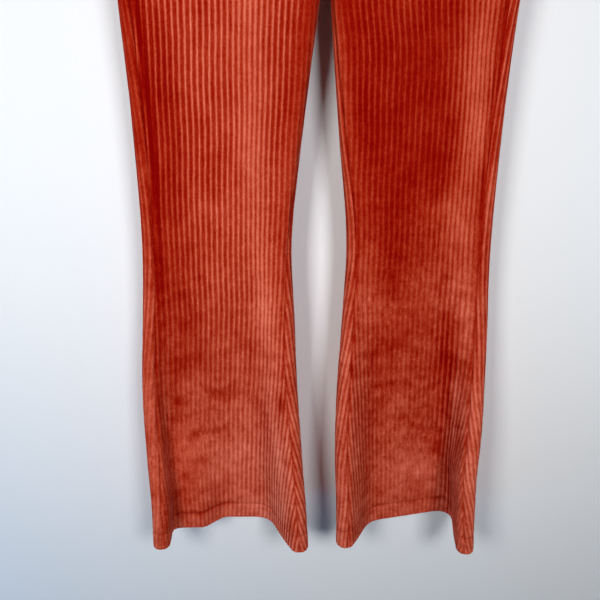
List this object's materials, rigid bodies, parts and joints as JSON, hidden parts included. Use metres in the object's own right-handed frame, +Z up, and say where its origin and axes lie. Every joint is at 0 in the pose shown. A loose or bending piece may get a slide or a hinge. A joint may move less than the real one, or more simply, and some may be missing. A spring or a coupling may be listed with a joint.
{
  "type": "flared leggings",
  "caption": "Pull-on flared leggings in wide-wale corduroy, hanging flat from the waistband with the hems curled forward.",
  "frame": {"origin": "middle of the waistband's top edge, where the garment is held up", "axes": "+Z up towards the waist, -Y the garment's front, +X the wearer's left"},
  "size_m": [0.4458, 0.1035, 1.03],
  "materials": {
    "rust_corduroy": "wide-wale stretch velour corduroy with a napped pile"
  },
  "bodies": {
    "root": {"front_right": "rust_corduroy", "front_left": "rust_corduroy", "back_right": "rust_corduroy", "back_left": "rust_corduroy", "waistband_front": "rust_corduroy", "waistband_back": "rust_corduroy"}
  },
  "joints": []
}
